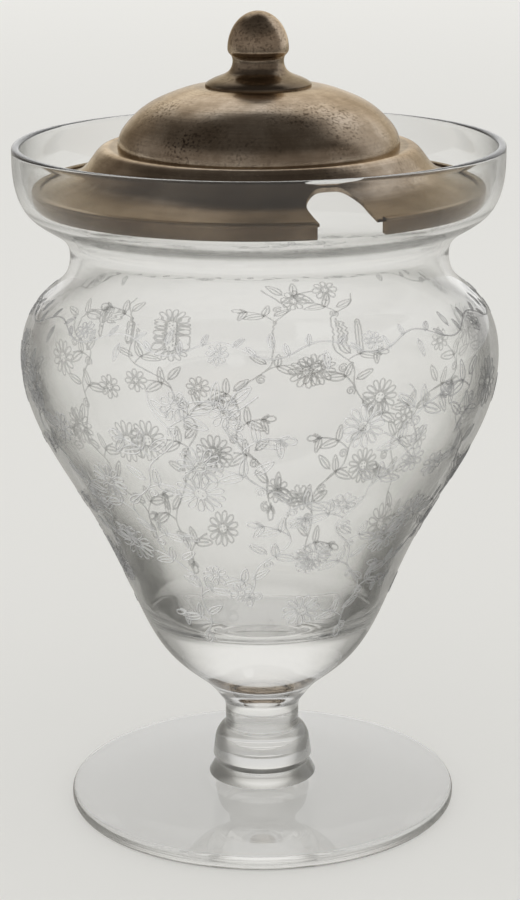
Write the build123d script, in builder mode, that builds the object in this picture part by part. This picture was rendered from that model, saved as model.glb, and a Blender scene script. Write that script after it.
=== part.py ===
from build123d import *
from math import cos, radians, sin
import os

# Marmalade jar: a blown glass bowl with a flared gallery, on a short stem and a round foot,
# and a lift-off metal lid with a spoon notch, which rests in the gallery.
# Millimetres, Z up. The origin is the centre of the foot's underside, and the notch faces -Y.
# Outlines are drawn as (radius, height) and turned round the Z axis.

# Glass foot
foot_r = 36.1
foot_edge_h = 2.0
foot_boss_h = 4.2
foot_hollow_h = 0.8
foot_ring_w = 3.0
foot_round_share = 0.35
foot_top_shares = ((0.58, 0.5),)

# Glass stem, from the foot up
stem_h = 16.2
stem_base_r = 10.05
groove_r = 8.75
groove_h = 2.5
knop_lip_r = 9.3
knop_lip_h = 1.2
knop_top_r = 8.9
knop_h = 3.1
knop_round = 0.3
waist_r = 6.88
waist_drop = 4.5
throat_r = 8.32
throat_lean = 33.0
shoulder_of_knop_shares = ((0.20, 0.15), (0.45, 0.53), (0.65, 0.93))
throat_shares = ((0.49, 0.05), (0.78, 0.47))

# Glass bowl: its height from the stem to the rim, and how far its belly and neck lie below the rim
bowl_h = 103.7
belly_h = 38.1
belly_r = 43.16
neck_h = 19.8
neck_r = 33.9
rim_r = 43.75
wall = 1.5
bottom_thick = 16.1
rim_round_share = 0.42
taper_shares = (
    (0.040, 0.063),
    (0.085, 0.164),
    (0.146, 0.279),
    (0.238, 0.383),
    (0.375, 0.491),
    (0.543, 0.641),
    (0.726, 0.839),
    (0.878, 0.966),
)
neck_shares = ((0.361, 0.137), (0.579, 0.447), (0.787, 0.887))
gallery_shares = ((0.116, 0.040), (0.250, 0.290), (0.410, 0.750), (0.665, 0.970))
floor_shares = ((0.03, 0.5), (0.12, 0.78), (0.38, 0.93))
wall_start_share = 0.20
wall_stations = 24

# Lid border, which stands on the gallery's curve
seat_share = 0.907
seat_gap = 0.12
border_w = 1.6
border_h = 2.65
border_lip_h = 0.4
border_round = 0.45
border_gap = 12.2

# Lid shell, its heights measured from the brim's edge
lid_sheet = 0.5
ledge_h = 7.2
dome_h = 17.65
dome_r = 25.05
ledge_w = 2.15
brim_slope = 14.0
shoulder_shares = ((0.123, 0.130), (0.418, 0.269), (0.623, 0.398), (0.836, 0.648))
dome_shares = ((0.138, 0.397), (0.333, 0.671), (0.581, 0.866), (0.800, 0.971))
sheet_stations = 12

# Spoon notch: its width, how far its head lies from the axis, and the rounding of the head's corners
notch_w = 10.2
notch_head_r = 30.3
notch_round = 3.7

# Knob
skirt_r = 9.4
skirt_edge_h = 0.4
crown_margin = 0.3
knob_neck_h = 5.3
knob_neck_top_r = 4.75
knob_waist_r = 4.57
knob_waist_drop = 1.4
knob_sheet = 0.7
cap_r = 5.41
cap_dome_h = 6.55
cap_curl_h = 1.2
oval_steps = 6
flare_shares = ((0.36, 0.13), (0.61, 0.45), (0.84, 0.84))

# Rivet and washer
rivet_r = 1.5
rivet_play = 0.05
rivet_head_r = 2.8
rivet_head_h = 0.8
washer_r = 4.2
washer_h = 0.6

# Speed of an outline at its two ends, for each millimetre of its length
even = (1, 1)

# Heights above the table
stem_z = foot_boss_h
bowl_z = stem_z + stem_h
rim_z = bowl_z + bowl_h
floor_z = bowl_z + bottom_thick


def between(first, last, shares):
    """Points of an outline from one corner to the next, as shares of the rise and of the reach."""
    reach = last[0] - first[0]
    rise = last[1] - first[1]
    return [(first[0] + across * reach, first[1] + up * rise) for up, across in shares]


def beside(edge, share, depth):
    """The point that lies a given depth to the left of an outline, square to it."""
    ahead = edge.tangent_at(share)
    return edge.position_at(share) + Vector(-ahead.Y, ahead.X) * depth


def follow(edge, first_share, stations, depth):
    """Points along an outline from a share of its length to its end, set aside by a depth."""
    step = (1 - first_share) / stations
    return [beside(edge, first_share + n * step, depth) for n in range(stations + 1)]


def oval_quarter(across, up, centre_z):
    """Points of a quarter of an oval, from its side to its top."""
    turns = [radians(n * 90 / oval_steps) for n in range(oval_steps + 1)]
    return [(across * cos(turn), centre_z + up * sin(turn)) for turn in turns]


# The outside of the bowl, from the stem to the rim, which the wall, the lid and its seat follow
throat = (throat_r, bowl_z)
belly = (belly_r, rim_z - belly_h)
neck = (neck_r, rim_z - neck_h)
rim = (rim_r, rim_z)
lean = (sin(radians(throat_lean)), cos(radians(throat_lean)))
bowl_side = Spline(
    throat,
    *between(throat, belly, taper_shares),
    belly,
    *between(belly, neck, neck_shares),
    neck,
    *between(neck, rim, gallery_shares),
    rim,
    tangents=[lean, (0, 1)],
    tangent_scalars=even,
    mode=Mode.PRIVATE,
)

# The place on the gallery's curve where the lid's border stands
seat = beside(bowl_side, seat_share, wall + seat_gap)
border_r = seat.X
border_z = seat.Y
border_in_r = border_r - border_w
brim_z = border_z + border_h - border_lip_h
ledge_z = brim_z + ledge_h
crown_z = brim_z + dome_h
crown_under_z = crown_z - lid_sheet
crown_r = skirt_r + crown_margin
knob_z = crown_z + knob_neck_h
washer_z = crown_under_z - washer_h
hole_r = rivet_r + rivet_play

os.makedirs("parts", exist_ok=True)

# Foot: a disc with a rounded edge, a slight rise to the stem and a shallow hollow underneath
foot_round = foot_round_share * foot_edge_h
foot_ring_r = foot_r - foot_round
with BuildPart() as foot:
    with BuildSketch(Plane.XZ):
        with BuildLine():
            hollow = Spline(
                (0, foot_hollow_h),
                (foot_ring_r - foot_ring_w, 0),
                tangents=[(1, 0), (1, 0)],
                tangent_scalars=even,
            )
            Line(hollow @ 1, (foot_r, 0))
            Line((foot_r, 0), (foot_r, foot_edge_h))
            boss = (stem_base_r, foot_boss_h)
            Spline((foot_r, foot_edge_h), *between((foot_r, foot_edge_h), boss, foot_top_shares), boss)
            Line(boss, (0, foot_boss_h))
            Line((0, foot_boss_h), hollow @ 0)
        make_face()
    revolve(axis=Axis.Z)
    outer_edges = edges().filter_by(GeomType.CIRCLE).sort_by(SortBy.RADIUS)[-2:]
    fillet(outer_edges, radius=foot_round)
foot.part.label = "foot"
export_step(foot.part, "parts/foot.step")

# Stem: a base, a groove, a knop with a sharp lower lip, and a waist that opens into the bowl
knop_lip_z = stem_z + groove_h + knop_lip_h
knop_top = (knop_top_r, knop_lip_z + knop_h)
waist = (waist_r, bowl_z - waist_drop)
knop_slope = Vector(knop_top_r - knop_lip_r, knop_h).normalized()
with BuildPart() as stem:
    with BuildSketch(Plane.XZ):
        with BuildLine():
            Line((0, stem_z), (stem_base_r, stem_z))
            FilletPolyline(
                (stem_base_r, stem_z),
                (groove_r, stem_z + groove_h),
                (knop_lip_r, knop_lip_z),
                knop_top,
                radius=knop_round,
            )
            Spline(
                knop_top,
                *between(knop_top, waist, shoulder_of_knop_shares),
                waist,
                *between(waist, throat, throat_shares),
                throat,
                tangents=[knop_slope, lean],
                tangent_scalars=even,
            )
            Line(throat, (0, bowl_z))
            Line((0, bowl_z), (0, stem_z))
        make_face()
    revolve(axis=Axis.Z)
stem.part.label = "stem"
export_step(stem.part, "parts/stem.step")

# Bowl: an even wall from the rim down, which thickens into a solid rounded floor
with BuildPart() as bowl:
    with BuildSketch(Plane.XZ):
        with BuildLine():
            add(bowl_side)
            inner = follow(bowl_side, wall_start_share, wall_stations, wall)
            floor_centre = (0, floor_z)
            curve_of_floor = between(floor_centre, (inner[0].X, inner[0].Y), floor_shares)
            inside = Spline(
                floor_centre,
                *curve_of_floor,
                *inner,
                tangents=[(1, 0), (0, 1)],
                tangent_scalars=even,
            )
            Line(bowl_side @ 1, inside @ 1)
            Line(inside @ 0, (0, bowl_z))
            Line((0, bowl_z), bowl_side @ 0)
        make_face()
    revolve(axis=Axis.Z)
    rim_edges = edges().filter_by(GeomType.CIRCLE).group_by(Axis.Z)[-1]
    fillet(rim_edges, radius=rim_round_share * wall)
bowl.part.label = "bowl"
export_step(bowl.part, "parts/bowl.step")

# Lid shell: one sheet with a flat crown, a dome, a ledge, a swept shoulder and a brim
crown_edge = (crown_r, crown_z)
dome_foot = (dome_r, ledge_z)
ledge_edge = (dome_r + ledge_w, ledge_z)
brim_edge = (border_in_r, brim_z)
slope = (cos(radians(brim_slope)), -sin(radians(brim_slope)))
with BuildPart() as lid_shell:
    with BuildSketch(Plane.XZ):
        with BuildLine():
            dome = Spline(
                crown_edge,
                *between(crown_edge, dome_foot, dome_shares),
                dome_foot,
                tangents=[(1, 0), (0, -1)],
                tangent_scalars=even,
            )
            Line(dome_foot, ledge_edge)
            shoulder = Spline(
                ledge_edge,
                *between(ledge_edge, brim_edge, shoulder_shares),
                brim_edge,
                tangents=[(1, 0), slope],
                tangent_scalars=even,
            )
            brim_under = (border_in_r, brim_z - lid_sheet)
            under_shoulder = follow(shoulder, 0, sheet_stations, -lid_sheet)[:-1]
            shoulder_inside = Spline(*under_shoulder, brim_under)
            under_dome = follow(dome, 0, sheet_stations, -lid_sheet)
            dome_inside = Spline(*under_dome, tangents=[(1, 0), (0, -1)], tangent_scalars=even)
            corner = (dome_r - lid_sheet, ledge_z - lid_sheet)
            Line(brim_edge, brim_under)
            Line(shoulder_inside @ 0, corner)
            Line(corner, dome_inside @ 1)
            Line(dome_inside @ 0, (hole_r, crown_under_z))
            Line((hole_r, crown_under_z), (hole_r, crown_z))
            Line((hole_r, crown_z), crown_edge)
        make_face()
    revolve(axis=Axis.Z)
    # The spoon notch: an arch with a round head, open towards the edge of the brim
    with BuildSketch(Plane.XY.offset(brim_z - lid_sheet)):
        with Locations((0, -(notch_head_r + border_r) / 2)):
            Rectangle(notch_w, border_r - notch_head_r)
        head_corners = vertices().group_by(Axis.Y)[-1]
        fillet(head_corners, radius=notch_round)
    extrude(amount=dome_h, mode=Mode.SUBTRACT)
lid_shell.part.label = "lid_shell"
export_step(lid_shell.part, "parts/lid_shell.step")

# Lid border: an open ring round the brim, cut off flat on both sides of the notch
with BuildPart() as lid_border:
    with BuildSketch(Plane.XZ):
        with Locations((border_r - border_w / 2, border_z + border_h / 2)):
            Rectangle(border_w, border_h)
        outside = vertices().group_by(Axis.X)[-1]
        fillet(outside, radius=border_round)
        inside_top = vertices().group_by(Axis.X)[0].sort_by(Axis.Y)[-1]
        fillet(inside_top, radius=border_lip_h / 2)
    revolve(axis=Axis.Z)
    with BuildSketch(Plane.XY.offset(border_z)):
        with Locations((0, -border_r)):
            Rectangle(border_gap, border_r)
    extrude(amount=border_h, mode=Mode.SUBTRACT)
lid_border.part.label = "lid_border"
export_step(lid_border.part, "parts/lid_border.step")

# Knob neck: a spun tube with a closed top, which flares into a skirt on the crown
neck_top = (knob_neck_top_r, knob_z)
knob_waist = (knob_waist_r, knob_z - knob_waist_drop)
skirt_top = (skirt_r, crown_z + skirt_edge_h)
with BuildPart() as knob_neck:
    with BuildSketch(Plane.XZ):
        with BuildLine():
            flare_line = Spline(
                neck_top,
                knob_waist,
                *between(knob_waist, skirt_top, flare_shares),
                skirt_top,
            )
            under_flare = follow(flare_line, 0, sheet_stations, -knob_sheet)
            ceiling = (under_flare[0].X, knob_z - knob_sheet)
            skirt_inside = (under_flare[-1].X, crown_z)
            tube_inside = Spline(ceiling, *under_flare[2:-2], skirt_inside)
            Line(skirt_top, (skirt_r, crown_z))
            Line((skirt_r, crown_z), skirt_inside)
            Line(ceiling, (hole_r, knob_z - knob_sheet))
            Line((hole_r, knob_z - knob_sheet), (hole_r, knob_z))
            Line((hole_r, knob_z), neck_top)
        make_face()
    revolve(axis=Axis.Z)
knob_neck.part.label = "knob_neck"
export_step(knob_neck.part, "parts/knob_neck.step")

# Knob cap: a hollow thimble that curls in to the top of the neck
cap_z = knob_z + cap_curl_h
cap_in_r = cap_r - knob_sheet
cap_in_h = cap_dome_h - knob_sheet
curl_in_r = knob_neck_top_r - knob_sheet
with BuildPart() as knob_cap:
    with BuildSketch(Plane.XZ):
        with BuildLine():
            for across, up, curl_r in (
                (cap_r, cap_dome_h, knob_neck_top_r),
                (cap_in_r, cap_in_h, curl_in_r),
            ):
                Spline(*oval_quarter(across, up, cap_z), tangents=[(0, 1), (-1, 0)], tangent_scalars=even)
                Spline((curl_r, knob_z), (across, cap_z), tangents=[(1, 1), (0, 1)])
            Line((0, cap_z + cap_in_h), (0, cap_z + cap_dome_h))
            Line((curl_in_r, knob_z), (knob_neck_top_r, knob_z))
        make_face()
    revolve(axis=Axis.Z)
knob_cap.part.label = "knob_cap"
export_step(knob_cap.part, "parts/knob_cap.step")

# Knob washer: under the crown of the lid
with BuildPart() as knob_washer:
    with BuildSketch(Plane.XY.offset(washer_z)):
        Circle(washer_r)
        Circle(hole_r, mode=Mode.SUBTRACT)
    extrude(amount=washer_h)
knob_washer.part.label = "knob_washer"
export_step(knob_washer.part, "parts/knob_washer.step")

# Knob rivet: a flat head inside the cap, a shank through neck and crown, and a closed round tail
with BuildPart() as knob_rivet:
    with BuildSketch(Plane.XZ):
        with BuildLine():
            Line((0, knob_z + rivet_head_h), (rivet_head_r, knob_z + rivet_head_h))
            Line((rivet_head_r, knob_z + rivet_head_h), (rivet_head_r, knob_z))
            Line((rivet_head_r, knob_z), (rivet_r, knob_z))
            Line((rivet_r, knob_z), (rivet_r, washer_z))
            Line((rivet_r, washer_z), (rivet_head_r, washer_z))
            EllipticalCenterArc((0, washer_z), rivet_head_r, rivet_head_h, start_angle=270, arc_size=90)
            Line((0, washer_z - rivet_head_h), (0, knob_z + rivet_head_h))
        make_face()
    revolve(axis=Axis.Z)
knob_rivet.part.label = "knob_rivet"
export_step(knob_rivet.part, "parts/knob_rivet.step")
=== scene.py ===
import math
import random

import bpy
import numpy as np
from mathutils import Matrix, Vector


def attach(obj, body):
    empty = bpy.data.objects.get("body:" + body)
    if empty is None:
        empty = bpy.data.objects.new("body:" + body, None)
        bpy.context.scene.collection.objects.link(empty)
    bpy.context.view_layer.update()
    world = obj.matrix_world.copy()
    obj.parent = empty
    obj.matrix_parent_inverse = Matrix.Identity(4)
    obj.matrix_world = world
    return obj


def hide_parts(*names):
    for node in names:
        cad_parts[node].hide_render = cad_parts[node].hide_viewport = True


# Marmalade jar in a plain studio. Metres, Z up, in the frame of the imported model.
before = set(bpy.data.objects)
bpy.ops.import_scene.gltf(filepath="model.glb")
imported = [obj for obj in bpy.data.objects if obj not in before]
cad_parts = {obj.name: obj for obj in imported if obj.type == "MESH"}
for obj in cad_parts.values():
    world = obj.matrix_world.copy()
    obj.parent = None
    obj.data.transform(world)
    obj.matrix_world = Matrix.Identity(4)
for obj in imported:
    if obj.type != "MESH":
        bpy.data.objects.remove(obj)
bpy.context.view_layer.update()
MM = 0.001

# Outline of the glass, in millimetres, as the solids have it: foot, stem and bowl. A pair of shares is
# (rise, reach) on the way from one corner of the outline to the next.
FOOT_R = 36.1
FOOT_EDGE_H = 2.0
FOOT_BOSS_H = 4.2
FOOT_HOLLOW_H = 0.8
FOOT_RING_W = 3.0
FOOT_ROUND_SHARE = 0.35
FOOT_TOP_SHARES = ((0.58, 0.5),)

STEM_H = 16.2
STEM_BASE_R = 10.05
GROOVE_R = 8.75
GROOVE_H = 2.5
KNOP_LIP_R = 9.3
KNOP_LIP_H = 1.2
KNOP_TOP_R = 8.9
KNOP_H = 3.1
KNOP_ROUND = 0.3
KNOP_SHOULDER_SHARES = ((0.20, 0.15), (0.45, 0.53), (0.65, 0.93))
WAIST_R = 6.88
WAIST_DROP = 4.5
THROAT_R = 8.32
THROAT_LEAN = math.radians(33.0)
THROAT_WAY = (math.sin(THROAT_LEAN), math.cos(THROAT_LEAN))
THROAT_SHARES = ((0.49, 0.05), (0.78, 0.47))

BOWL_Z = FOOT_BOSS_H + STEM_H
BOWL_H = 103.7
RIM_Z = BOWL_Z + BOWL_H
BELLY_H = 38.1
BELLY_R = 43.16
NECK_H = 19.8
NECK_R = 33.9
RIM_R = 43.75
WALL = 1.5
BOTTOM_THICK = 16.1
RIM_ROUND_SHARE = 0.42
TAPER_SHARES = (
    (0.040, 0.063),
    (0.085, 0.164),
    (0.146, 0.279),
    (0.238, 0.383),
    (0.375, 0.491),
    (0.543, 0.641),
    (0.726, 0.839),
    (0.878, 0.966),
)
NECK_SHARES = ((0.361, 0.137), (0.579, 0.447), (0.787, 0.887))
GALLERY_SHARES = ((0.116, 0.040), (0.250, 0.290), (0.410, 0.750), (0.665, 0.970))
FLOOR_SHARES = ((0.03, 0.5), (0.12, 0.78), (0.38, 0.93))
WALL_START_SHARE = 0.20
WALL_STATIONS = 24

# Steps of the glass mesh: round the axis, along its outline in millimetres, and in each rounded corner.
# An edge that turns by more than the angle stays sharp.
GLASS_TURNS = 256
BOWL_STEP = 1.1
STEM_STEP = 0.45
FOOT_STEP = 1.5
ROUND_STEPS = 5
SHARP_ANGLE = math.radians(35.0)

# Etched lines, in millimetres: the section of a line, and the step along it
LINE_W = 0.36
LINE_UP = 0.12
LINE_DOWN = 0.03
LINE_STEP = 0.45
SEED = 11

# Shapes of the etched motifs, as shares of their size, with stalks in millimetres and leans in radians
EYE_SHARE = 0.28
EYE_DOTS = 4
DOT_REACH = (0.35, 0.7)
PETAL_FILL = 0.72
LOOP_LONG = 2.2
TIP_TAPER = 0.75
LEAF_W_SHARE = 0.48
LEAF_RIB_SHARE = 0.8
LEAF_STALK = 0.4
BUD_W_SHARE = 0.55
BUD_STALK = 0.6
SEPAL_SHARE = 0.6
SEPAL_W_SHARE = 0.24
SEPAL_LEAN = 0.55
CURL_TURNS = 1.8
CURL_CLOSES_TURNS = 2.2
CURL_POINTS = 26

# Wavy vine round the shoulder of the bowl in millimetres, with a motif in each of its bends
VINE_Z = 95.5
VINE_SWING = 1.5
VINE_WAVES = 14
VINE_DAISY_R = 1.9
VINE_LEAF_LONG = 2.8
VINE_MOTIF_IN = 2.2
VINE_SIDE_LEAF_LONG = 2.2
VINE_SIDE_STEPS = (-0.3, 0.3)
VINE_SIDE_LEAN = 0.5

# Stems that climb the bowl, in millimetres, and how they sway and ripple round it, in radians
STEM_COUNT = 12
STEMS_LOW_Z = 40.0
STEMS_HIGH_Z = 89.0
STEM_STAGGER = 9.0
STEM_START = 0.3
STEM_SWING = 0.13
STEM_WAVES = 1.35
STEM_PHASE = 0.6
RIPPLE_SWING = 0.03
RIPPLE_RATE = 31.0
STEM_BUD_LONG = 2.6

# Branches in millimetres and radians, at full size where the bowl is wide.
# Spreads, bends and leans run from least to most, and chance draws from them.
FULL_SIZE_R = 41.0
LEAST_SIZE = 0.55
FIRST_NODE = 2.0
LAST_NODE = 1.0
NODE_STEP = 6.6
NODE_STEP_FIXED = 0.7
BRANCH_LONG = 7.0
BRANCH_SPREAD = (0.8, 1.15)
BRANCH_BENDS = (0.5, 1.2)
BRANCH_LEANS = (0.6, 0.95)
DAISY_R = 4.3
DAISY_SPREAD = (0.9, 1.1)
DAISY_PETALS = (11, 12, 13)
SMALL_DAISY_SHARE = 0.62
SMALL_PETALS = 8
BUD_LONG = 3.0
LEAF_LONG = 4.4
BUD_LEAF_SHARE = 0.8
BUD_LEAF_TURN = 1.3
# Each side leaf: the share of a full length, and the turn away from the branch
BRANCH_LEAVES = ((1.0, 1.1), (0.85, -0.9))
STEM_LEAF_SHARE = 0.9
STEM_LEAF_UP = 2.2
STEM_LEAF_TURN = 0.9
TENDRIL_CHANCE = 0.6
TENDRIL_SIZE = 1.1
TENDRIL_DROP = 1.4
TENDRIL_LEANS = (0.4, 1.0)

# Camera, from the rim and foot ellipses of the photograph: metres and radians, with the lens in millimetres
CAMERA_DISTANCE = 0.4268
CAMERA_HEIGHT = 0.1881
CAMERA_PITCH = math.radians(15.81)
CAMERA_TURN = math.radians(22.0)
CAMERA_SIDE = -0.0001
CAMERA_ROLL = math.radians(-0.34)
LENS = 96.6
SENSOR = 36.0
CLIP_START = 0.01
TO_BACKDROP = (math.sin(CAMERA_TURN), math.cos(CAMERA_TURN), 0.0)
TO_RIGHT = (math.cos(CAMERA_TURN), -math.sin(CAMERA_TURN), 0.0)

# Floor, in metres, with a little air under the foot, so that the glass stands on it and isn't stuck to it
FLOOR_GAP = 0.0001
FLOOR_R = 4.0
FLOOR_CORNERS = 128
# Its tones and its glow run from its middle to this far out, lighter farther out: painted light falloff
FLOOR_FAR = 2.0
FLOOR_FALLOFF_TONES = ((0.0, (0.860, 0.852, 0.816)), (0.45, (0.850, 0.842, 0.806)), (1.0, (0.93, 0.921, 0.882)))
FLOOR_PAINTED_GLOWS = ((0.0, (0.700, 0.693, 0.664)), (0.45, (0.725, 0.718, 0.688)), (1.0, (0.86, 0.852, 0.816)))
FLOOR_GLOW_SHARE = 0.5

# The painted reflection of the floor, a dim glow that glass and metal mirror instead of it, from in front of
# the jar to behind it
PAINTED_MIRROR_TONES = ((0.0, (0.20, 0.19, 0.175)), (1.0, (0.48, 0.47, 0.44)))
MIRRORED_FROM = -0.12
MIRRORED_TO = 0.06

# The pale surround behind everything, by the height of the way to it
PALE_TONES = ((0.0, (0.84, 0.83, 0.80)), (0.5, (0.84, 0.83, 0.80)), (1.0, 0.7))

# The dark room that metal and glass mirror in front and above, by the height of the way to it
ROOM_TONES = (
    (0.0, (0.34, 0.315, 0.29)),
    (0.45, (0.31, 0.285, 0.26)),
    (0.68, (0.125, 0.115, 0.104)),
    (1.0, (0.08, 0.073, 0.066)),
)

# How bright the mirrored backdrop is: by height, from the front to the back, and from left to right
BACKDROP_HEIGHTS = ((0.76, 1.0), (0.88, 0.0))
BACKDROP_DEPTHS = ((0.0, 0.0), (0.2, 1.0))
BACKDROP_SIDES = ((0.25, 0.0), (0.40, 1.0), (0.625, 1.0), (0.80, 0.85), (0.95, 0.8))

# Old silver: its dark patches to its light ones, its specks, and the grain of each
SILVER_TONES = ((0.36, (0.33, 0.25, 0.18)), (0.50, (0.52, 0.42, 0.32)), (0.64, (0.76, 0.65, 0.53)))
SILVER_ROUGH = (0.26, 0.17)
EDGE_TONE = (0.85, 0.76, 0.62)
PATCH_GRAIN = 70.0
PATCH_SPAN = (0.3, 0.7)
SPECK_TONE = (0.13, 0.09, 0.06)
SPECK_GRAIN = 2000.0
SPECK_STOPS = ((0.52, 0.0), (0.65, 1.0))
SPREAD_GRAIN = 110.0
SPREAD_STOPS = ((0.42, 0.15), (0.62, 1.0))

# Rings that spinning left in the silver, and how the rings and the dents stand in relief, in metres
RING_GRAIN = 2600.0
RING_LONG = 0.0006
STREAKS = ((0.38, 0.90), (0.62, 1.03))
DENT_SHARE = 0.12
DENT_DEPTH = 0.001
RING_SHARE = 0.10
RING_DEPTH = 0.0001

# How much of the silver's brightness the patina leaves, by radius and by height, in metres, with a painted
# highlight at full brightness along the edge of the ledge round the dome. The radii of the patina and the
# specks are read up to PATINA_FAR.
PATINA_FAR = 0.045
PATINA_AND_HIGHLIGHT_RADII = (
    (0.0170, 1.0),
    (0.0220, 0.85),
    (0.0250, 0.70),
    (0.0262, 0.55),
    (0.0268, 1.0),
    (0.0279, 1.0),
    (0.0288, 0.70),
    (0.0310, 0.75),
    (0.0335, (0.27, 0.24, 0.205)),
    (0.0410, (0.27, 0.24, 0.205)),
)
PATINA_LOW = 0.130
PATINA_HIGH = 0.150
PATINA_HEIGHTS = (
    (0.1338, 1.0),
    (0.1342, 0.42),
    (0.1356, 0.45),
    (0.1366, 0.62),
    (0.1390, 0.62),
    (0.1396, 1.0),
)

# How thick the specks lie, by radius in metres
SPECK_RADII = (
    (0.0055, 0.6),
    (0.0090, 0.3),
    (0.0150, 0.35),
    (0.0180, 1.0),
    (0.0245, 1.0),
    (0.0260, 0.45),
    (0.0410, 0.30),
)

# Frost of the etched lines: the painted light and shade on their slopes, from a fixed way of the light, and
# the painted shade where the sides of the bowl darken them
FROST_PAINTED_LIGHT = (-0.75, 0.30, 0.60)
FROST_LIT_MOST = 0.8
FROST_SLOPE_SHADES = ((0.0, 0.42), (0.5, 0.70), (0.75, 0.97), (1.0, 1.0))
FROST_SLANT_SHADES = ((0.22, 1.0), (0.60, 0.30))
FROST_INSIDE = (1.0, 1.0, 0.98)
FROST_ALPHA = 0.52

# Painted shade of the glass by slant, standing in for the dark surroundings seen at its edges, and how a
# slant is read at each height in metres: (height, gain, shift)
SLANT_SHADE_TONES = (
    (0.0, 1.0),
    (0.40, (0.88, 0.88, 0.87)),
    (0.55, (0.66, 0.658, 0.64)),
    (0.75, (0.24, 0.239, 0.228)),
    (1.0, (0.14, 0.139, 0.131)),
)
SLANT_SHADE_TOP = 0.125
SLANT_SHADE_MOST = 3.5
SLANT_SHADE_SHIFT = 2.0
SLANT_SHADE_HEIGHTS = (
    (0.0012, 1.5, 0.10),
    (0.0017, 1.3, 0.50),
    (0.0024, 1.3, 0.45),
    (0.0047, 1.8, 0.62),
    (0.0051, 2.8, 0.24),
    (0.0067, 2.6, 0.20),
    (0.0080, 1.9, 0.20),
    (0.0140, 2.6, -0.25),
    (0.0202, 2.8, -0.95),
    (0.0220, 2.0, -1.20),
    (0.0240, 2.4, -1.60),
    (0.0270, 2.0, -0.92),
    (0.0330, 1.8, -0.38),
    (0.0360, 1.4, -0.10),
    (0.0373, 2.8, -0.38),
    (0.0395, 2.8, -0.38),
    (0.0450, 2.4, -0.28),
    (0.0500, 1.3, 0.00),
    (0.0550, 1.0, 0.09),
    (0.0660, 1.0, -0.07),
    (0.0720, 0.95, 0.02),
    (0.0780, 1.2, -0.15),
    (0.0840, 1.2, -0.08),
    (0.0960, 0.9, 0.00),
    (0.1030, 0.3, 0.00),
    (0.1100, 0.4, 0.00),
    (0.1111, 1.0, 0.25),
    (0.1123, 1.0, 0.25),
    (0.1129, 0.4, 0.10),
    (0.1136, 0.6, 0.35),
    (0.1145, 0.6, 0.00),
    (0.1200, 0.9, 0.02),
)

# How far up a face of the glass looks where its painted shade starts to clear, and where it is clear
CLEAR_FROM = 0.6
CLEAR_TO = 0.85

# Turns that light may take in the glass before it is given up
BOUNCES = 48


def between(first, last, shares):
    """Points of an outline from one corner to the next, as shares of the rise and of the reach."""
    reach = last[0] - first[0]
    rise = last[1] - first[1]
    return [(first[0] + across * reach, first[1] + up * rise) for up, across in shares]


def smooth_curve(points, first, last, step):
    """A smooth line through points, with a given direction at each end, sampled about every step."""
    points = np.array(points, float)
    gaps = np.linalg.norm(np.diff(points, axis=0), axis=1)
    count = len(points)
    system = np.zeros((count, count))
    right = np.zeros((count, 2))
    system[0, 0] = system[-1, -1] = 1
    right[0], right[-1] = first, last
    for n in range(1, count - 1):
        before, after = gaps[n - 1], gaps[n]
        system[n, n - 1 : n + 2] = after, 2 * (before + after), before
        chord_in = (points[n] - points[n - 1]) / before
        chord_out = (points[n + 1] - points[n]) / after
        right[n] = 3 * (after * chord_in + before * chord_out)
    slopes = np.linalg.solve(system, right)
    line = [points[0]]
    for n, gap in enumerate(gaps):
        chord = points[n + 1] - points[n]
        bend_in = (slopes[n] - chord / gap) * gap
        bend_out = (chord / gap - slopes[n + 1]) * gap
        parts = max(2, round(gap / step))
        for t in np.arange(1, parts + 1) / parts:
            line.append(points[n] + t * chord + t * (1 - t) * ((1 - t) * bend_in + t * bend_out))
    return np.array(line)


def rounded(before, corner, after, radius):
    """Points of an arc of that radius in the corner between two straight runs."""
    before, corner, after = (np.array(p, float) for p in (before, corner, after))
    a = (before - corner) / np.linalg.norm(before - corner)
    b = (after - corner) / np.linalg.norm(after - corner)
    half = math.acos(float(np.clip(a @ b, -1, 1))) / 2
    centre = corner + (a + b) / np.linalg.norm(a + b) * radius / math.sin(half)
    start = corner + a * radius / math.tan(half) - centre
    end = corner + b * radius / math.tan(half) - centre
    turn = math.pi - 2 * half
    points = []
    for n in range(ROUND_STEPS + 1):
        t = n / ROUND_STEPS
        mix = (math.sin((1 - t) * turn) * start + math.sin(t * turn) * end) / math.sin(turn)
        points.append(centre + mix)
    return points


def along(line):
    """The length of a line from its start to each of its points."""
    return np.concatenate([[0], np.cumsum(np.linalg.norm(np.diff(line, axis=0), axis=1))])


def set_aside(line, shares, depth):
    """Points at shares of a line's length, set to its left by a depth."""
    length = along(line)
    ahead = np.gradient(line, length, axis=0)
    points = []
    for share in shares:
        at = share * length[-1]
        place = [np.interp(at, length, line[:, k]) for k in (0, 1)]
        way = np.array([np.interp(at, length, ahead[:, k]) for k in (0, 1)])
        way /= np.linalg.norm(way)
        points.append((place[0] - way[1] * depth, place[1] + way[0] * depth))
    return points


def new_piece(name, verts, faces):
    """An object of the scene from corners in metres and faces."""
    mesh = bpy.data.meshes.new(name)
    mesh.from_pydata(verts, [], faces)
    mesh.validate()
    piece = bpy.data.objects.new(name, mesh)
    bpy.context.scene.collection.objects.link(piece)
    return piece


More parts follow.
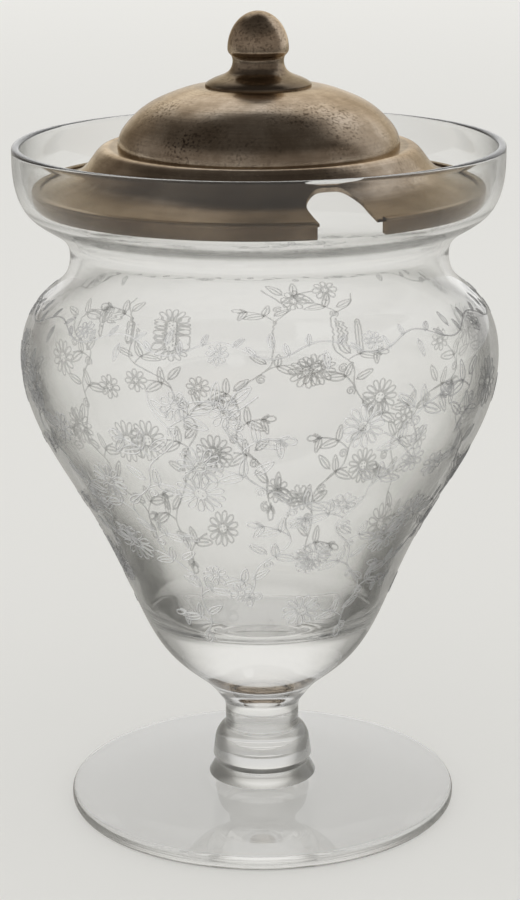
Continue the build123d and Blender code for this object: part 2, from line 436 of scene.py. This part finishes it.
def lathe(name, outline, turns):
    """A closed mesh turned round Z from an outline in millimetres that starts and ends on the axis."""
    outline = np.array(outline, float) * MM
    ring = outline[1:-1]
    angles = np.arange(turns) * 2 * math.pi / turns
    circle = np.stack([np.cos(angles), np.sin(angles)], -1)
    verts = [(0, 0, outline[0][1]), (0, 0, outline[-1][1])]
    for r, z in ring:
        verts += [(r * x, r * y, z) for x, y in circle]
    faces = []
    last = 2 + (len(ring) - 1) * turns
    for k in range(turns):
        after = (k + 1) % turns
        faces.append((0, 2 + after, 2 + k))
        faces.append((1, last + k, last + after))
        for n in range(len(ring) - 1):
            low = 2 + n * turns
            high = low + turns
            faces.append((low + k, low + after, high + after, high + k))
    piece = new_piece(name, verts, faces)
    piece.data.shade_smooth()
    piece.data.set_sharp_from_angle(angle=SHARP_ANGLE)
    return piece


def foot_outline():
    """The foot from the middle of its hollow underside, round its edge and up to the stem's base."""
    foot_round = FOOT_ROUND_SHARE * FOOT_EDGE_H
    ring_in = FOOT_R - foot_round - FOOT_RING_W
    edge_low = (FOOT_R, 0)
    edge_high = (FOOT_R, FOOT_EDGE_H)
    boss = (STEM_BASE_R, FOOT_BOSS_H)
    top_points = [edge_high, *between(edge_high, boss, FOOT_TOP_SHARES), boss]
    chords = [np.subtract(b, a) for a, b in zip(top_points[:-1], top_points[1:])]
    ends = [chord / np.linalg.norm(chord) for chord in (chords[0], chords[-1])]
    top = smooth_curve(top_points, ends[0], ends[1], FOOT_STEP)
    return [
        *smooth_curve([(0, FOOT_HOLLOW_H), (ring_in, 0)], (1, 0), (1, 0), FOOT_STEP),
        *rounded((0, 0), edge_low, edge_high, foot_round),
        *rounded(edge_low, edge_high, top[1], foot_round),
        *top[1:],
    ]


def stem_outline():
    """The stem from its base over its groove and knop to its throat."""
    boss = (STEM_BASE_R, FOOT_BOSS_H)
    groove = (GROOVE_R, FOOT_BOSS_H + GROOVE_H)
    lip = (KNOP_LIP_R, groove[1] + KNOP_LIP_H)
    knop_top = (KNOP_TOP_R, lip[1] + KNOP_H)
    waist = (WAIST_R, BOWL_Z - WAIST_DROP)
    throat = (THROAT_R, BOWL_Z)
    rise = np.subtract(knop_top, lip)
    points = [
        knop_top,
        *between(knop_top, waist, KNOP_SHOULDER_SHARES),
        waist,
        *between(waist, throat, THROAT_SHARES),
        throat,
    ]
    return [
        *rounded(boss, groove, lip, KNOP_ROUND),
        *rounded(groove, lip, knop_top, KNOP_ROUND),
        *smooth_curve(points, rise / np.linalg.norm(rise), THROAT_WAY, STEM_STEP),
    ]


def bowl_outside():
    """The bowl's outside from the stem to the rim."""
    throat = (THROAT_R, BOWL_Z)
    belly = (BELLY_R, RIM_Z - BELLY_H)
    neck = (NECK_R, RIM_Z - NECK_H)
    rim = (RIM_R, RIM_Z)
    points = [
        throat,
        *between(throat, belly, TAPER_SHARES),
        belly,
        *between(belly, neck, NECK_SHARES),
        neck,
        *between(neck, rim, GALLERY_SHARES),
        rim,
    ]
    return smooth_curve(points, THROAT_WAY, (0, 1), BOWL_STEP)


def bowl_inside(outside):
    """The bowl's inside from the middle of its floor to the rim."""
    step = (1 - WALL_START_SHARE) / WALL_STATIONS
    shares = [WALL_START_SHARE + n * step for n in range(WALL_STATIONS + 1)]
    wall = set_aside(outside, shares, WALL)
    floor_centre = (0, BOWL_Z + BOTTOM_THICK)
    floor = between(floor_centre, wall[0], FLOOR_SHARES)
    return smooth_curve([floor_centre, *floor, *wall], (1, 0), (0, 1), BOWL_STEP)


def glass_outline(outside):
    """The whole glass, from the middle of its underside round the outside to the middle of its floor."""
    rim_round = RIM_ROUND_SHARE * WALL
    rim_out = (RIM_R, RIM_Z)
    rim_in = (RIM_R - WALL, RIM_Z)
    return [
        *foot_outline(),
        *stem_outline(),
        *(p for p in outside[1:] if p[1] < RIM_Z - rim_round),
        *rounded((RIM_R, 0), rim_out, rim_in, rim_round),
        *rounded(rim_out, rim_in, (RIM_R - WALL, 0), rim_round),
        *(p for p in bowl_inside(outside)[::-1] if p[1] < RIM_Z - rim_round),
    ]


def points_on(reach, least):
    """How many points a stroke of that reach has, and at least a few where it is short."""
    return max(least, round(reach / LINE_STEP) + 1)


def ring_of(radius):
    """A small circle."""
    turn = np.linspace(0, 2 * math.pi, points_on(2 * math.pi * radius, 7))
    return np.stack([radius * np.cos(turn), radius * np.sin(turn)], -1)


def loop(length, width, pointed=False):
    """A closed loop from the origin up to its tip: a petal, or a leaf with a pointed tip."""
    turn = np.linspace(0, 2 * math.pi, points_on(LOOP_LONG * length, 9))
    up = (1 - np.cos(turn)) / 2
    across = np.sin(turn) * (np.sqrt(1 - TIP_TAPER * up) if pointed else np.sin(turn / 2))
    return np.stack([across * width / 2, up * length], -1)


def line_up(low, high):
    """A straight line up from one height to another."""
    climb = np.linspace(low, high, points_on(high - low, 2))
    return np.stack([np.zeros(len(climb)), climb], -1)


def arc_of(length, bend):
    """A line that leaves the origin upwards and turns by an angle on its way."""
    turn = np.linspace(0, bend, points_on(length, 4))
    step = length / (len(turn) - 1)
    steps = np.stack([np.sin(turn), np.cos(turn)], -1)[:-1] * step
    return np.concatenate([[(0, 0)], np.cumsum(steps, axis=0)])


def turned(strokes, angle):
    """Strokes turned clockwise by an angle."""
    spin = np.array([[math.cos(angle), -math.sin(angle)], [math.sin(angle), math.cos(angle)]])
    return [stroke @ spin for stroke in strokes]


def daisy(radius, petals):
    """A daisy with a dotted centre."""
    eye = EYE_SHARE * radius
    petal = loop(radius - eye, 2 * math.pi * radius * PETAL_FILL / petals) + (0, eye)
    dot = line_up(eye * DOT_REACH[0], eye * DOT_REACH[1])
    strokes = [ring_of(eye)]
    for n in range(petals):
        strokes += turned([petal], 2 * math.pi * n / petals)
    for n in range(EYE_DOTS):
        strokes += turned([dot], 2 * math.pi * (n + 0.5) / EYE_DOTS)
    return strokes


def leaf(length):
    """A pointed leaf with a midrib."""
    return [loop(length, length * LEAF_W_SHARE, True), line_up(-LEAF_STALK, length * LEAF_RIB_SHARE)]


def bud(length):
    """A closed flower on a short stalk, between two sepals."""
    sepal = [loop(length * SEPAL_SHARE, length * SEPAL_W_SHARE, True)]
    flower = [line_up(-BUD_STALK, 0), loop(length, length * BUD_W_SHARE)]
    return flower + turned(sepal, SEPAL_LEAN) + turned(sepal, -SEPAL_LEAN)


def tendril(size):
    """A curl that winds in on itself."""
    turn = np.linspace(0, 2 * math.pi * CURL_TURNS, CURL_POINTS)
    radius = size * (1 - turn / (2 * math.pi * CURL_CLOSES_TURNS))
    return [np.stack([size - radius * np.cos(turn), radius * np.sin(turn)], -1)]


class Etching:
    """Strokes on the bowl's side by kind, each as turns round the axis and lengths up the side."""

    def __init__(self, outside):
        self.outside = outside
        self.length = along(outside)
        self.kinds = {"stems": [], "leaves": [], "flowers": [], "border": []}

    def climb_to(self, height):
        """The length up the side to a height. The side rises all the way, so it is there only once."""
        return float(np.interp(height, self.outside[:, 1], self.length))

    def radius_at(self, climb):
        """The bowl's radius at a length up its side."""
        return np.interp(climb, self.length, self.outside[:, 0])

    def put(self, kind, strokes, turn, climb, angle):
        """Draws a motif about a place, turned by an angle."""
        for stroke in turned(strokes, angle):
            up = climb + stroke[:, 1]
            self.kinds[kind].append((turn + stroke[:, 0] / self.radius_at(up), up))


def branch_size(radius):
    """How large a branch is where the bowl has that radius, against its full size."""
    return LEAST_SIZE + (1 - LEAST_SIZE) * min(1.0, radius / FULL_SIZE_R)


def draw_branch(etching, dice, turn, climb, out, flower):
    """A branch from a place on a stem, with its flower at the tip, its leaves and now and then a curl."""
    radius = float(etching.radius_at(climb))
    size = branch_size(radius)
    branch = arc_of(BRANCH_LONG * size * dice.uniform(*BRANCH_SPREAD), out * dice.uniform(*BRANCH_BENDS))
    lean = out * dice.uniform(*BRANCH_LEANS)
    etching.put("stems", [branch], turn, climb, lean)
    bent = turned([branch], lean)[0]
    way = math.atan2(*(bent[-1] - bent[-2]))

    # The flower at the tip is a large daisy, a bud with a leaf, or a small daisy
    if flower == 0:
        reach = DAISY_R * size * dice.uniform(*DAISY_SPREAD)
        motif = daisy(reach, dice.choice(DAISY_PETALS))
    elif flower == 1:
        reach = 0
        motif = bud(BUD_LONG * size)
        small_leaf = leaf(LEAF_LONG * BUD_LEAF_SHARE * size)
        tip_turn = turn + bent[-1][0] / radius
        etching.put("leaves", small_leaf, tip_turn, climb + bent[-1][1], way + BUD_LEAF_TURN * out)
    else:
        reach = DAISY_R * SMALL_DAISY_SHARE * size
        motif = daisy(reach, SMALL_PETALS)
    middle = bent[-1] + (reach * math.sin(way), reach * math.cos(way))
    etching.put("flowers", motif, turn + middle[0] / radius, climb + middle[1], way)

    # Leaves halfway along the branch and beside its start, and by chance a curl
    half = bent[len(bent) // 2 - 1]
    for share, aside in BRANCH_LEAVES:
        side_leaf = leaf(LEAF_LONG * share * size)
        etching.put("leaves", side_leaf, turn + half[0] / radius, climb + half[1], lean + out * aside)
    stem_leaf = leaf(LEAF_LONG * STEM_LEAF_SHARE * size)
    etching.put("leaves", stem_leaf, turn, climb + STEM_LEAF_UP, -out * STEM_LEAF_TURN)
    if dice.random() < TENDRIL_CHANCE:
        curl = tendril(TENDRIL_SIZE * size)
        etching.put("stems", curl, turn, climb - TENDRIL_DROP, -out * dice.uniform(*TENDRIL_LEANS))


def draw_stem(etching, dice, n):
    """A stem that sways up the bowl from a bud, with branches to its right and left in turn."""
    low = etching.climb_to(STEMS_LOW_Z)
    high = etching.climb_to(STEMS_HIGH_Z)
    side = 1 if n % 2 else -1
    first = low if n % 2 else low + STEM_STAGGER
    climb = np.arange(first, high, LINE_STEP)
    share = (climb - low) / (high - low)
    sway = STEM_SWING * side * np.sin(2 * math.pi * STEM_WAVES * share + STEM_PHASE)
    ripple = RIPPLE_SWING * np.sin(share * RIPPLE_RATE + n)
    turns = 2 * math.pi * (n + STEM_START) / STEM_COUNT + sway + ripple
    etching.kinds["stems"].append((turns, climb))
    etching.put("flowers", bud(STEM_BUD_LONG), turns[0], climb[0], math.pi)
    place = first + FIRST_NODE
    count = 0
    while place < high - LAST_NODE:
        out = 1 if count % 2 else -1
        turn = float(np.interp(place, climb, turns))
        draw_branch(etching, dice, turn, place, out, (count + n) % 3)
        size = branch_size(float(etching.radius_at(place)))
        place += NODE_STEP * (NODE_STEP_FIXED + (1 - NODE_STEP_FIXED) * size)
        count += 1


def draw_vine(etching):
    """The wavy vine round the bowl, with a daisy or a leaf in each bend and two leaves beside it."""
    vine = etching.climb_to(VINE_Z)
    around = 2 * math.pi * float(etching.radius_at(vine))
    turns = np.linspace(0, 2 * math.pi, round(around / LINE_STEP))
    etching.kinds["border"].append((turns, vine + VINE_SWING * np.sin(VINE_WAVES * turns)))
    for n in range(2 * VINE_WAVES):
        turn = math.pi * (n + 0.5) / VINE_WAVES
        side = -1 if n % 2 else 1
        motif = leaf(VINE_LEAF_LONG) if n % 3 else daisy(VINE_DAISY_R, SMALL_PETALS)
        climb = vine + side * (VINE_SWING - VINE_MOTIF_IN)
        etching.put("border", motif, turn, climb, math.pi if side > 0 else 0)
        for step in VINE_SIDE_STEPS:
            beside = turn + step * math.pi / VINE_WAVES
            climb = vine + VINE_SWING * math.sin(VINE_WAVES * beside)
            etching.put("border", leaf(VINE_SIDE_LEAF_LONG), beside, climb, side * VINE_SIDE_LEAN + step)


def etched_piece(name, strokes, etching):
    """Fine raised lines on the bowl, each a low ridge with two slopes."""
    ahead = np.gradient(etching.outside, etching.length, axis=0)
    ahead /= np.linalg.norm(ahead, axis=1)[:, None]
    verts = []
    faces = []
    for turn, climb in strokes:
        radius, height = (np.interp(climb, etching.length, etching.outside[:, k]) for k in (0, 1))
        lean, rise = (np.interp(climb, etching.length, ahead[:, k]) for k in (0, 1))
        spot = np.stack([radius * np.cos(turn), radius * np.sin(turn), height], -1)
        out = np.stack([rise * np.cos(turn), rise * np.sin(turn), -lean], -1)
        beside = np.cross(out, np.gradient(spot, axis=0))
        beside *= LINE_W / 2 / np.maximum(np.linalg.norm(beside, axis=1), 1e-9)[:, None]
        below = spot - out * LINE_DOWN
        rows = np.stack([below - beside, spot + out * LINE_UP, below + beside], 1)
        first = len(verts)
        verts += [tuple(v) for v in rows.reshape(-1, 3) * MM]
        for n in range(len(spot) - 1):
            at = first + 3 * n
            faces.append((at + 3, at + 4, at + 1, at))
            faces.append((at + 4, at + 5, at + 2, at + 1))
    return new_piece(name, verts, faces)


def feed(tree, socket, value):
    """Sets an input to a value, or links the output of another node to it."""
    if isinstance(value, bpy.types.NodeSocket):
        tree.links.new(value, socket)
    else:
        socket.default_value = value


def add_node(tree, kind, *values, **named):
    """A node with its inputs set, in order or by name."""
    node = tree.nodes.new(kind)
    for place, value in enumerate(values):
        feed(tree, node.inputs[place], value)
    for name, value in named.items():
        feed(tree, node.inputs[name], value)
    return node


def maths(tree, operation, *values):
    """The result of one operation on numbers."""
    node = add_node(tree, "ShaderNodeMath", *values)
    node.operation = operation
    return node.outputs["Value"]


def vectors(tree, operation, *values):
    """The result of one operation on vectors, which is a number for a length or a dot product."""
    node = add_node(tree, "ShaderNodeVectorMath", *values)
    node.operation = operation
    return node.outputs["Value" if operation in ("LENGTH", "DOT_PRODUCT") else "Vector"]


def spanned(tree, value, first, last, low=0.0, high=1.0):
    """A value read from one span into another, and kept inside it."""
    return add_node(tree, "ShaderNodeMapRange", value, first, last, low, high).outputs["Result"]


def ramp(tree, factor, stops):
    """A colour ramp with stops of (place, grey or colour)."""
    node = add_node(tree, "ShaderNodeValToRGB", factor)
    elements = node.color_ramp.elements
    while len(elements) < len(stops):
        elements.new(0.5)
    for element, (place, colour) in zip(elements, stops):
        element.position = place
        rgb = (colour,) * 3 if isinstance(colour, (int, float)) else colour
        element.color = (*rgb, 1)
    return node.outputs["Color"]


def mix_colours(tree, share, first, second):
    """The first colour, with a share of the second."""
    node = tree.nodes.new("ShaderNodeMix")
    node.data_type = "RGBA"
    sockets = {socket.identifier: socket for socket in node.inputs}
    feed(tree, sockets["Factor_Float"], share)
    feed(tree, sockets["A_Color"], first)
    feed(tree, sockets["B_Color"], second)
    return next(socket for socket in node.outputs if socket.identifier == "Result_Color")


def mix_shaders(tree, share, first, second):
    """The first shader, with a share of the second."""
    return add_node(tree, "ShaderNodeMixShader", share, first, second).outputs[0]


def new_material(name):
    """A node material, its tree, its shader and the place on the object that it is read at."""
    material = bpy.data.materials.new(name)
    material.use_nodes = True
    tree = material.node_tree
    place = add_node(tree, "ShaderNodeTexCoord").outputs["Object"]
    return material, tree, tree.nodes["Principled BSDF"], place


def slant_shade_row(tree, height, column, low, high):
    """A value of the table of heights, as a ramp between its lowest and highest."""
    share = maths(tree, "MULTIPLY", height, 1 / SLANT_SHADE_TOP)
    stops = [(row[0] / SLANT_SHADE_TOP, (row[column] - low) / (high - low)) for row in SLANT_SHADE_HEIGHTS]
    return spanned(tree, ramp(tree, share, stops), 0.0, 1.0, low, high)


def glass_material():
    """Clear glass with painted shade where the eye meets it at a slant, above all low in the bowl."""
    material, tree, shader, place = new_material("clear_glass")
    height = add_node(tree, "ShaderNodeSeparateXYZ", place).outputs["Z"]
    gain = slant_shade_row(tree, height, 1, 0.0, SLANT_SHADE_MOST)
    shift = slant_shade_row(tree, height, 2, -SLANT_SHADE_SHIFT, SLANT_SHADE_SHIFT)
    facing = add_node(tree, "ShaderNodeLayerWeight", Blend=0.5).outputs["Facing"]
    slant = maths(tree, "MULTIPLY_ADD", facing, gain, shift)
    # Light on its way to the floor passes without the painted shade
    gathered = add_node(tree, "ShaderNodeLightPath").outputs["Diffuse Depth"]
    seen = maths(tree, "LESS_THAN", gathered, 0.5)
    # A face that looks up, such as the floor of the bowl, keeps clear of the painted shade
    face = add_node(tree, "ShaderNodeNewGeometry").outputs["Normal"]
    upward = add_node(tree, "ShaderNodeSeparateXYZ", face).outputs["Z"]
    steep = spanned(tree, upward, CLEAR_FROM, CLEAR_TO, 1.0, 0.0)
    shown = maths(tree, "MULTIPLY", slant, maths(tree, "MULTIPLY", steep, seen))
    feed(tree, shader.inputs["Base Color"], ramp(tree, shown, SLANT_SHADE_TONES))
    shader.inputs["Roughness"].default_value = 0.0
    shader.inputs["IOR"].default_value = 1.5
    shader.inputs["Transmission Weight"].default_value = 1.0
    return material


def frost_material():
    """Etched glass: a thin frosted skin, with painted light on one slope of each line and painted shade on
    the other.
    """
    material, tree, shader, place = new_material("etched_frost")
    face = add_node(tree, "ShaderNodeNewGeometry")
    # Painted light and shade on the two slopes of each line, from a fixed way of the light
    lit = vectors(tree, "DOT_PRODUCT", face.outputs["Normal"], FROST_PAINTED_LIGHT)
    slope = ramp(tree, spanned(tree, lit, -FROST_LIT_MOST, FROST_LIT_MOST), FROST_SLOPE_SHADES)
    # Painted shade: towards the sides of the bowl the frost darkens with the glass under it
    out = vectors(tree, "NORMALIZE", vectors(tree, "MULTIPLY", place, (1.0, 1.0, 0.0)))
    facing = add_node(tree, "ShaderNodeLayerWeight", Blend=0.5, Normal=out).outputs["Facing"]
    tone = vectors(tree, "MULTIPLY", slope, ramp(tree, facing, FROST_SLANT_SHADES))
    # The inner face of the skin, seen through the glass, is pale
    skin = mix_colours(tree, face.outputs["Backfacing"], tone, (*FROST_INSIDE, 1))
    feed(tree, shader.inputs["Base Color"], skin)
    shader.inputs["Roughness"].default_value = 0.6
    shader.inputs["Specular IOR Level"].default_value = 0.2
    shader.inputs["Alpha"].default_value = FROST_ALPHA
    return material


def silver_material():
    """Old silver: warm tarnish with darker patches, specks and fine rings left by spinning, and a painted
    highlight along the edge of the ledge.
    """
    material, tree, shader, place = new_material("old_silver")
    parts = add_node(tree, "ShaderNodeSeparateXYZ", place)
    x, y, z = (parts.outputs[axis] for axis in "XYZ")
    reach = vectors(tree, "LENGTH", add_node(tree, "ShaderNodeCombineXYZ", x, y).outputs[0])
    far = maths(tree, "MULTIPLY", reach, 1 / PATINA_FAR)

    # Patches of tarnish, and specks strewn over them
    patches = add_node(tree, "ShaderNodeTexNoise", Vector=place, Scale=PATCH_GRAIN, Detail=5.0, Roughness=0.6)
    grains = add_node(tree, "ShaderNodeTexNoise", Vector=place, Scale=SPECK_GRAIN, Detail=2.0)
    spread = add_node(tree, "ShaderNodeTexNoise", Vector=place, Scale=SPREAD_GRAIN, Detail=3.0)
    specks = ramp(tree, grains.outputs["Fac"], SPECK_STOPS)
    strewn = maths(tree, "MULTIPLY", specks, ramp(tree, spread.outputs["Fac"], SPREAD_STOPS))
    thick = ramp(tree, far, [(radius / PATINA_FAR, share) for radius, share in SPECK_RADII])
    speckled = maths(tree, "MULTIPLY", strewn, thick)
    tarnish = ramp(tree, patches.outputs["Fac"], SILVER_TONES)
    worn = mix_colours(tree, speckled, tarnish, (*SPECK_TONE, 1))

    # Rings round the axis, from a grain drawn out along each turn
    round_axis = maths(tree, "MULTIPLY", maths(tree, "ARCTAN2", y, x), RING_LONG)
    spun = add_node(tree, "ShaderNodeCombineXYZ", reach, z, round_axis).outputs[0]
    rings = add_node(tree, "ShaderNodeTexNoise", Vector=spun, Scale=RING_GRAIN, Detail=3.0).outputs["Fac"]

    # Patina by radius and by height, and a painted highlight along the edge of the ledge round the dome
    patina_and_highlight_by_radius = ramp(tree, far, [(radius / PATINA_FAR, left) for radius, left in PATINA_AND_HIGHLIGHT_RADII])
    high = spanned(tree, z, PATINA_LOW, PATINA_HIGH)
    span = PATINA_HIGH - PATINA_LOW
    by_height = ramp(tree, high, [((at - PATINA_LOW) / span, left) for at, left in PATINA_HEIGHTS])
    patina_and_highlight = vectors(tree, "MULTIPLY", patina_and_highlight_by_radius, by_height)
    streaked = vectors(tree, "MULTIPLY", patina_and_highlight, ramp(tree, rings, STREAKS))
    feed(tree, shader.inputs["Base Color"], vectors(tree, "MULTIPLY", worn, streaked))
    rough = spanned(tree, patches.outputs["Fac"], *PATCH_SPAN, *SILVER_ROUGH)
    feed(tree, shader.inputs["Roughness"], rough)
    shader.inputs["Metallic"].default_value = 1.0
    shader.inputs["Specular Tint"].default_value = (*EDGE_TONE, 1)

    # Dents and rings in relief
    relief = {"Height": spread.outputs["Fac"], "Strength": DENT_SHARE, "Distance": DENT_DEPTH}
    dents = add_node(tree, "ShaderNodeBump", **relief).outputs[0]
    relief = {"Height": rings, "Strength": RING_SHARE, "Distance": RING_DEPTH}
    feed(tree, shader.inputs["Normal"], add_node(tree, "ShaderNodeBump", Normal=dents, **relief).outputs[0])
    return material


def floor_material():
    """Pale matt floor with painted light: lighter farther out, partly a glow, and mirrored by glass and metal
    dimmer than it is seen.
    """
    material, tree, shader, place = new_material("pale_floor")
    far = maths(tree, "MULTIPLY", vectors(tree, "LENGTH", place), 1 / FLOOR_FAR)
    feed(tree, shader.inputs["Base Color"], ramp(tree, far, FLOOR_FALLOFF_TONES))
    shader.inputs["Roughness"].default_value = 0.5
    shader.inputs["Specular IOR Level"].default_value = 0.1

    # Painted light: what is seen straight, or through glass, glows a little, which lifts the jar's shadow on
    # the floor
    path = add_node(tree, "ShaderNodeLightPath")
    straight = maths(tree, "LESS_THAN", path.outputs["Diffuse Depth"], 0.5)
    glow = add_node(tree, "ShaderNodeEmission", ramp(tree, far, FLOOR_PAINTED_GLOWS)).outputs[0]
    seen = mix_shaders(tree, maths(tree, "MULTIPLY", straight, FLOOR_GLOW_SHARE), shader.outputs[0], glow)

    # Painted reflection: what glass and metal mirror is a dim glow, darker in front of the jar than behind it
    behind = vectors(tree, "DOT_PRODUCT", place, TO_BACKDROP)
    depth = spanned(tree, behind, MIRRORED_FROM, MIRRORED_TO)
    painted_mirror = add_node(tree, "ShaderNodeEmission", ramp(tree, depth, PAINTED_MIRROR_TONES)).outputs[0]
    mirrored = maths(tree, "SUBTRACT", path.outputs["Is Glossy Ray"], path.outputs["Is Transmission Ray"])
    feed(tree, tree.nodes["Material Output"].inputs["Surface"], mix_shaders(tree, mirrored, seen, painted_mirror))
    return material


def build_floor():
    """A pale round floor under the jar."""
    bpy.ops.mesh.primitive_circle_add(vertices=FLOOR_CORNERS, radius=FLOOR_R, fill_type="NGON")
    floor = bpy.context.object
    floor.name = "floor"
    floor.location.z = -FLOOR_GAP
    floor.data.materials.append(floor_material())


def build_world():
    """Even light on everything, a pale surround behind glass, and a room with a dark side for gloss."""
    world = bpy.data.worlds.new("studio")
    bpy.context.scene.world = world
    world.use_nodes = True
    tree = world.node_tree
    tree.nodes.clear()
    way = add_node(tree, "ShaderNodeTexCoord").outputs["Generated"]
    up = add_node(tree, "ShaderNodeSeparateXYZ", way).outputs["Z"]
    path = add_node(tree, "ShaderNodeLightPath")

    # The bright backdrop stands on one side, and the room above and in front of it is dark
    behind = vectors(tree, "DOT_PRODUCT", way, TO_BACKDROP)
    beside = spanned(tree, vectors(tree, "DOT_PRODUCT", way, TO_RIGHT), -1.0, 1.0)
    low = ramp(tree, up, BACKDROP_HEIGHTS)
    tall = maths(tree, "MULTIPLY", low, ramp(tree, beside, BACKDROP_SIDES))
    backdrop = maths(tree, "MULTIPLY", tall, ramp(tree, behind, BACKDROP_DEPTHS))
    room = mix_colours(tree, backdrop, ramp(tree, up, ROOM_TONES), (1, 1, 1, 1))

    pale = add_node(tree, "ShaderNodeBackground", ramp(tree, up, PALE_TONES)).outputs[0]
    gloss = add_node(tree, "ShaderNodeBackground", room).outputs[0]
    soft = add_node(tree, "ShaderNodeBackground", (1, 1, 1, 1)).outputs[0]
    is_seen = maths(tree, "MAXIMUM", path.outputs["Is Camera Ray"], path.outputs["Is Transmission Ray"])
    direct = mix_shaders(tree, is_seen, gloss, pale)
    # Light that a matt surface gathers comes evenly from all sides, through glass too
    gathered = maths(tree, "GREATER_THAN", path.outputs["Diffuse Depth"], 0.5)
    light = mix_shaders(tree, gathered, direct, soft)
    add_node(tree, "ShaderNodeOutputWorld", Surface=light)


def build_camera():
    """The camera at the photograph's place."""
    data = bpy.data.cameras.new("camera")
    data.lens = LENS
    data.sensor_fit = "VERTICAL"
    data.sensor_height = SENSOR
    data.clip_start = CLIP_START
    camera = bpy.data.objects.new("camera", data)
    camera.location = Vector(TO_RIGHT) * CAMERA_SIDE - Vector(TO_BACKDROP) * CAMERA_DISTANCE
    camera.location.z = CAMERA_HEIGHT
    turn = Matrix.Rotation(-CAMERA_TURN, 3, "Z")
    pitch = Matrix.Rotation(math.pi / 2 - CAMERA_PITCH, 3, "X")
    roll = Matrix.Rotation(CAMERA_ROLL, 3, "Z")
    camera.rotation_euler = (turn @ pitch @ roll).to_euler()
    bpy.context.scene.collection.objects.link(camera)
    bpy.context.scene.camera = camera


outside = bowl_outside()
glass = lathe("glass_body", glass_outline(outside), GLASS_TURNS)
glass.data.materials.append(glass_material())
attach(glass, "jar")
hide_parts("bowl", "stem", "foot")

etching = Etching(outside)
dice = random.Random(SEED)
for n in range(STEM_COUNT):
    draw_stem(etching, dice, n)
draw_vine(etching)
frost = frost_material()
for kind, strokes in etching.kinds.items():
    piece = etched_piece("etched_" + kind, strokes, etching)
    piece.data.materials.append(frost)
    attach(piece, "jar")

silver = silver_material()
for name in ("lid_shell", "lid_border", "knob_neck", "knob_cap", "knob_rivet", "knob_washer"):
    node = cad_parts[name]
    node.data.materials.clear()
    node.data.materials.append(silver)

build_floor()
build_world()
build_camera()
scene = bpy.context.scene
scene.view_settings.view_transform = "Standard"
scene.cycles.max_bounces = BOUNCES
scene.cycles.transmission_bounces = BOUNCES
scene.cycles.glossy_bounces = BOUNCES
scene.cycles.transparent_max_bounces = BOUNCES
